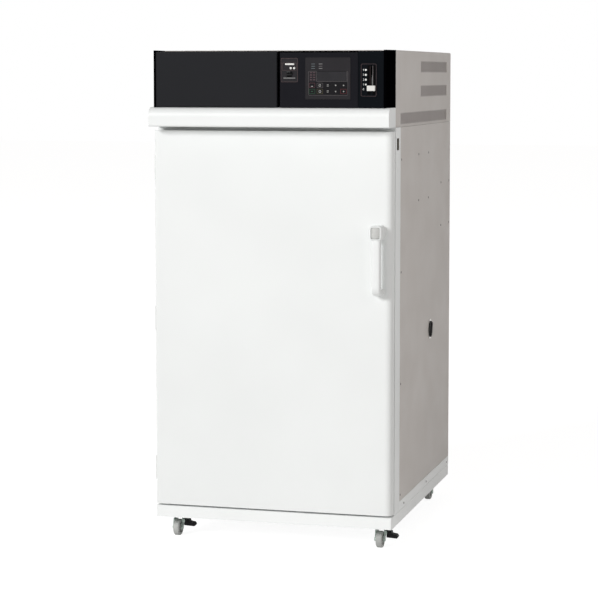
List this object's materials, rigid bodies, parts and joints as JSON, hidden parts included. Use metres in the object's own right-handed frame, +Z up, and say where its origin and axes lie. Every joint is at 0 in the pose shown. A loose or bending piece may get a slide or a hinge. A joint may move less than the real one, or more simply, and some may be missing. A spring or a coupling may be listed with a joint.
{
  "type": "laboratory oven",
  "caption": "Tall floor-standing laboratory oven on casters, with a full-width hinged door, a control fascia, slotted side vents and a cable port.",
  "frame": {"origin": "on the floor, at the middle of the overall bounding box", "axes": "+Z up, the door faces -Y, +X to the right as seen from the front"},
  "size_m": [0.868, 1.15, 1.72],
  "materials": {
    "white_paint": "satin powder coat",
    "stainless": "brushed",
    "zinc_steel": "zinc plated",
    "grille_grey": "satin",
    "cover_grey": "satin",
    "cover_black": "satin",
    "handle_white": "smooth",
    "button_grey": "smooth",
    "device_black": "fine grain",
    "keypad": "printed film",
    "display": "glossy window",
    "toggle": "smooth",
    "knob_white": "smooth",
    "pedal_black": "moulded",
    "wheel_grey": "smooth tread",
    "plug_rubber": "moulded silicone rubber",
    "gasket_silicone": "moulded silicone",
    "wool": "mineral wool",
    "filter_media": "pleated",
    "motor_paint": "hammered",
    "gland_black": "moulded nylon"
  },
  "bodies": {
    "cabinet": {"base_frame": "white_paint", "caster_plates": "zinc_steel", "front_frame": "white_paint", "strike": "zinc_steel", "inner_chamber": "stainless", "insulation": "wool", "side_panel_left": "white_paint", "side_panel_right": "white_paint", "rear_panel": "white_paint", "cable_gland": "gland_black", "exhaust_port": "stainless", "rear_baffle": "stainless", "hepa_filter": "filter_media", "fan_motor": "motor_paint", "heater": "stainless", "sensor_probe": "stainless", "shelf_rails": "stainless", "port_sleeve": "stainless", "hinge_brackets": "zinc_steel", "head_floor": "zinc_steel", "power_unit": "zinc_steel", "head_cover": "white_paint", "side_grilles": "grille_grey", "head_rear_panel": "white_paint", "visor": "white_paint", "fascia_frame": "cover_black", "fascia_cover": "cover_grey", "control_panel": "cover_black", "damper_panel": "cover_black", "controller_body": "device_black", "display_window": "display", "keypad_film": "keypad", "breaker_body": "device_black", "panel_screws": "zinc_steel"},
    "door": {"door_skin": "white_paint", "door_liner": "stainless", "door_core": "wool", "door_gasket": "gasket_silicone", "hinge_knuckles": "zinc_steel", "handle_body": "handle_white", "latch_bracket": "zinc_steel"},
    "handle_button": {"handle_button": "button_grey"},
    "latch_lever": {"latch_lever": "zinc_steel"},
    "fan_wheel": {"fan_wheel": "zinc_steel"},
    "shelf_lower": {"shelf_lower": "stainless"},
    "shelf_upper": {"shelf_upper": "stainless"},
    "breaker_toggle": {"breaker_toggle": "toggle"},
    "damper_knob": {"damper_knob": "knob_white"},
    "damper_flap": {"damper_flap": "stainless"},
    "port_plug": {"port_plug": "plug_rubber"},
    "caster_fork_front_left": {"caster_fork_front_left": "zinc_steel"},
    "caster_wheel_front_left": {"caster_wheel_front_left": "wheel_grey"},
    "brake_pedal_front_left": {"brake_pedal_front_left": "pedal_black"},
    "caster_fork_front_right": {"caster_fork_front_right": "zinc_steel"},
    "caster_wheel_front_right": {"caster_wheel_front_right": "wheel_grey"},
    "brake_pedal_front_right": {"brake_pedal_front_right": "pedal_black"},
    "caster_fork_rear_left": {"caster_fork_rear_left": "zinc_steel"},
    "caster_wheel_rear_left": {"caster_wheel_rear_left": "wheel_grey"},
    "caster_fork_rear_right": {"caster_fork_rear_right": "zinc_steel"},
    "caster_wheel_rear_right": {"caster_wheel_rear_right": "wheel_grey"}
  },
  "joints": [
    {"name": "door_hinge", "type": "hinge", "parent": "cabinet", "child": "door", "pos_m": [-0.4295, -0.47, 0.784], "axis": [0, 0, -1], "range_deg": [0, 120]},
    {"name": "handle_press", "type": "slide", "parent": "door", "child": "handle_button", "axis": [0, 1, 0], "range_m": [0, 0.005], "stiffness_N_per_m": 500},
    {"name": "latch_turn", "type": "hinge", "parent": "door", "child": "latch_lever", "pos_m": [0.379, -0.494, 1.076], "axis": [-1, 0, 0], "range_deg": [0, 12.5]},
    {"name": "fan_spin", "type": "hinge", "parent": "cabinet", "child": "fan_wheel", "pos_m": [0, 0.3, 0.79], "axis": [0, 1, 0], "continuous": true},
    {"name": "shelf_lower_slide", "type": "slide", "parent": "cabinet", "child": "shelf_lower", "axis": [0, -1, 0], "range_m": [0, 0.03]},
    {"name": "shelf_upper_slide", "type": "slide", "parent": "cabinet", "child": "shelf_upper", "axis": [0, -1, 0], "range_m": [0, 0.03]},
    {"name": "breaker_tip", "type": "hinge", "parent": "cabinet", "child": "breaker_toggle", "pos_m": [0.0747, -0.551, 1.638], "axis": [1, 0, 0], "range_deg": [0, 40]},
    {"name": "damper_slide", "type": "slide", "parent": "cabinet", "child": "damper_knob", "axis": [0, 0, 1], "range_m": [0, 0.073]},
    {"name": "damper_turn", "type": "hinge", "parent": "cabinet", "child": "damper_flap", "pos_m": [-0.2, 0.54, 1.21], "axis": [1, 0, 0], "range_deg": [0, 90.5]},
    {"name": "plug_pull", "type": "slide", "parent": "cabinet", "child": "port_plug", "axis": [1, 0, 0], "range_m": [0, 0.05]},
    {"name": "swivel_front_left", "type": "hinge", "parent": "cabinet", "child": "caster_fork_front_left", "pos_m": [-0.369, -0.413, 0.06], "axis": [0, 0, 1], "continuous": true},
    {"name": "roll_front_left", "type": "hinge", "parent": "caster_fork_front_left", "child": "caster_wheel_front_left", "pos_m": [-0.369, -0.435, 0.029], "axis": [1, 0, 0], "continuous": true},
    {"name": "brake_front_left", "type": "hinge", "parent": "caster_fork_front_left", "child": "brake_pedal_front_left", "pos_m": [-0.3471, -0.421, 0.0525], "axis": [0, 1, 0], "range_deg": [0, 15]},
    {"name": "swivel_front_right", "type": "hinge", "parent": "cabinet", "child": "caster_fork_front_right", "pos_m": [0.369, -0.413, 0.06], "axis": [0, 0, 1], "continuous": true},
    {"name": "roll_front_right", "type": "hinge", "parent": "caster_fork_front_right", "child": "caster_wheel_front_right", "pos_m": [0.369, -0.435, 0.029], "axis": [1, 0, 0], "continuous": true},
    {"name": "brake_front_right", "type": "hinge", "parent": "caster_fork_front_right", "child": "brake_pedal_front_right", "pos_m": [0.3909, -0.421, 0.0525], "axis": [0, 1, 0], "range_deg": [0, 15]},
    {"name": "swivel_rear_left", "type": "hinge", "parent": "cabinet", "child": "caster_fork_rear_left", "pos_m": [-0.369, 0.421, 0.06], "axis": [0, 0, 1], "continuous": true},
    {"name": "roll_rear_left", "type": "hinge", "parent": "caster_fork_rear_left", "child": "caster_wheel_rear_left", "pos_m": [-0.369, 0.399, 0.029], "axis": [1, 0, 0], "continuous": true},
    {"name": "swivel_rear_right", "type": "hinge", "parent": "cabinet", "child": "caster_fork_rear_right", "pos_m": [0.369, 0.421, 0.06], "axis": [0, 0, 1], "continuous": true},
    {"name": "roll_rear_right", "type": "hinge", "parent": "caster_fork_rear_right", "child": "caster_wheel_rear_right", "pos_m": [0.369, 0.399, 0.029], "axis": [1, 0, 0], "continuous": true}
  ],
  "couplings": [
    {"joint": "latch_turn", "follows": "handle_press", "rad_per_m": 41.888},
    {"joint": "damper_turn", "follows": "damper_slide", "rad_per_m": 21.518}
  ]
}
